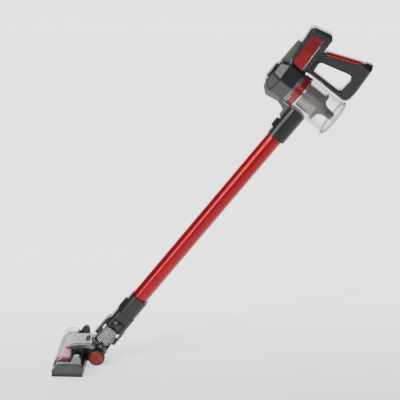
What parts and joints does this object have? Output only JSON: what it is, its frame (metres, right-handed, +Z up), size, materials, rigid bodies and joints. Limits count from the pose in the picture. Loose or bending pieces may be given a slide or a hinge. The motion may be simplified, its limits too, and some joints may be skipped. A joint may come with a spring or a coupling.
{
  "type": "upright vacuum cleaner",
  "caption": "Cordless stick vacuum cleaner: powered floor head with a clear window, jointed neck, wand, and a cyclone handheld with a clear dust bin and loop handle.",
  "frame": {"origin": "on the floor, under the middle of the object's length and width", "axes": "+Z up, X across the head, the head's front towards -Y, the wand leaning up towards +Y"},
  "size_m": [0.24, 0.8278, 0.923],
  "materials": {
    "bellows_white": "satin",
    "black_plastic": "satin",
    "bristle": "tufted",
    "cell_wrap": "satin",
    "clear": "clear",
    "dark_rubber": "matte",
    "filter_media": "pleated",
    "graphite": "satin",
    "light_grey": "satin",
    "mauve_grey": "satin",
    "motor_metal": "satin",
    "red_gloss": "gloss",
    "red_tube": "metallic gloss",
    "shroud_metal": "perforated, satin",
    "silver_plastic": "satin metallic",
    "steel": "polished",
    "tyre_rubber": "matte"
  },
  "bodies": {
    "handheld": {"body_shell_left": "graphite", "body_shell_right": "graphite", "side_covers": "red_gloss", "grip_strip": "red_gloss", "handle_cap": "black_plastic", "front_brace": "light_grey", "battery_cells": "cell_wrap", "charge_jack": "black_plastic", "motor_housing": "graphite", "front_bezel": "graphite", "front_cap": "silver_plastic", "front_grille": "black_plastic", "belly_shell": "light_grey", "silver_collar": "silver_plastic", "motor": "motor_metal", "motor_mount": "dark_rubber", "hepa_filter": "filter_media", "pre_filter": "filter_media", "shroud": "shroud_metal", "shroud_skirt": "mauve_grey", "cyclone_cone": "mauve_grey", "inlet_neck": "black_plastic", "neck_bracket": "light_grey"},
    "fan": {"impeller": "motor_metal"},
    "lock_ring": {"lock_ring": "red_gloss"},
    "bin": {"bin_cup": "clear", "bin_trim": "steel", "hinge_pin": "steel"},
    "lid": {"bin_lid": "clear"},
    "latch": {"lid_latch": "black_plastic"},
    "power_key": {"power_button": "dark_rubber"},
    "mode_key": {"mode_button": "dark_rubber"},
    "wand": {"wand_tube": "red_tube", "lower_collar": "black_plastic", "upper_collar": "black_plastic"},
    "upper_key": {"upper_release": "black_plastic"},
    "lower_key": {"lower_release": "black_plastic"},
    "neck": {"neck_shell": "black_plastic", "swivel_pins": "steel", "bellows": "bellows_white"},
    "elbow": {"elbow": "light_grey"},
    "head": {"head_base": "black_plastic", "sole_plate": "silver_plastic", "front_bumper": "dark_rubber", "window": "clear", "bridge_cover": "silver_plastic", "bridge_vent": "black_plastic", "end_caps": "silver_plastic", "side_panels": "graphite", "brush_motor": "motor_metal", "belt": "dark_rubber", "wheel_axle": "steel"},
    "brush": {"brush_core": "red_gloss", "bristles": "bristle"},
    "brush_drive": {"drive_pulley": "motor_metal"},
    "wheel_left": {"tyre_left": "tyre_rubber", "wheel_hub_left": "red_gloss"},
    "wheel_right": {"tyre_right": "tyre_rubber", "wheel_hub_right": "red_gloss"},
    "rollers": {"front_rollers": "tyre_rubber"}
  },
  "joints": [
    {"name": "fan_spin", "type": "hinge", "parent": "handheld", "child": "fan", "pos_m": [0, 0.19573, 0.78029], "axis": [0, 0.7826, -0.6225], "continuous": true},
    {"name": "ring_turn", "type": "hinge", "parent": "handheld", "child": "lock_ring", "pos_m": [0, 0.2239, 0.75788], "axis": [0, 0.7826, -0.6225], "range_deg": [0, 20]},
    {"name": "bin_pull", "type": "slide", "parent": "handheld", "child": "bin", "axis": [0, 0.7826, -0.6225], "range_m": [0, 0.12]},
    {"name": "lid_open", "type": "hinge", "parent": "bin", "child": "lid", "pos_m": [0, 0.28169, 0.64419], "axis": [-1, 0, 0], "range_deg": [0, 100]},
    {"name": "latch_press", "type": "slide", "parent": "lid", "child": "latch", "axis": [0, -0.6225, -0.7826], "range_m": [0, 0.0015], "stiffness_N_per_m": 400},
    {"name": "wand_pull", "type": "slide", "parent": "handheld", "child": "wand", "axis": [0, -0.6225, -0.7826], "range_m": [0, 0.04]},
    {"name": "neck_pull", "type": "slide", "parent": "wand", "child": "neck", "axis": [0, -0.6225, -0.7826], "range_m": [0, 0.035]},
    {"name": "upper_press", "type": "slide", "parent": "wand", "child": "upper_key", "axis": [0, 0.7826, -0.6225], "range_m": [0, 0.002], "stiffness_N_per_m": 800},
    {"name": "lower_press", "type": "slide", "parent": "wand", "child": "lower_key", "axis": [0, 0.7826, -0.6225], "range_m": [0, 0.002], "stiffness_N_per_m": 800},
    {"name": "neck_swivel", "type": "hinge", "parent": "neck", "child": "elbow", "pos_m": [0, -0.27676, 0.07385], "axis": [0, 0.7826, -0.6225], "range_deg": [-40, 40], "deforming": ["bellows"]},
    {"name": "neck_pitch", "type": "hinge", "parent": "elbow", "child": "head", "pos_m": [0, -0.29294, 0.0535], "axis": [1, 0, 0], "range_deg": [-35, 40]},
    {"name": "brush_spin", "type": "hinge", "parent": "head", "child": "brush", "pos_m": [0, -0.38194, 0.024], "axis": [1, 0, 0], "continuous": true},
    {"name": "drive_spin", "type": "hinge", "parent": "head", "child": "brush_drive", "pos_m": [0, -0.34544, 0.024], "axis": [1, 0, 0], "continuous": true},
    {"name": "wheel_left_spin", "type": "hinge", "parent": "head", "child": "wheel_left", "pos_m": [-0.032, -0.30394, 0.022], "axis": [1, 0, 0], "continuous": true},
    {"name": "wheel_right_spin", "type": "hinge", "parent": "head", "child": "wheel_right", "pos_m": [0.032, -0.30394, 0.022], "axis": [1, 0, 0], "continuous": true},
    {"name": "rollers_spin", "type": "hinge", "parent": "head", "child": "rollers", "pos_m": [0, -0.34694, 0.006], "axis": [1, 0, 0], "continuous": true},
    {"name": "power_press", "type": "slide", "parent": "handheld", "child": "power_key", "axis": [0, -0.7826, 0.6225], "range_m": [0, 0.0015], "stiffness_N_per_m": 500},
    {"name": "mode_press", "type": "slide", "parent": "handheld", "child": "mode_key", "axis": [0, -0.7826, 0.6225], "range_m": [0, 0.0015], "stiffness_N_per_m": 500}
  ],
  "couplings": [
    {"joint": "drive_spin", "follows": "brush_spin", "ratio": 1.8}
  ]
}
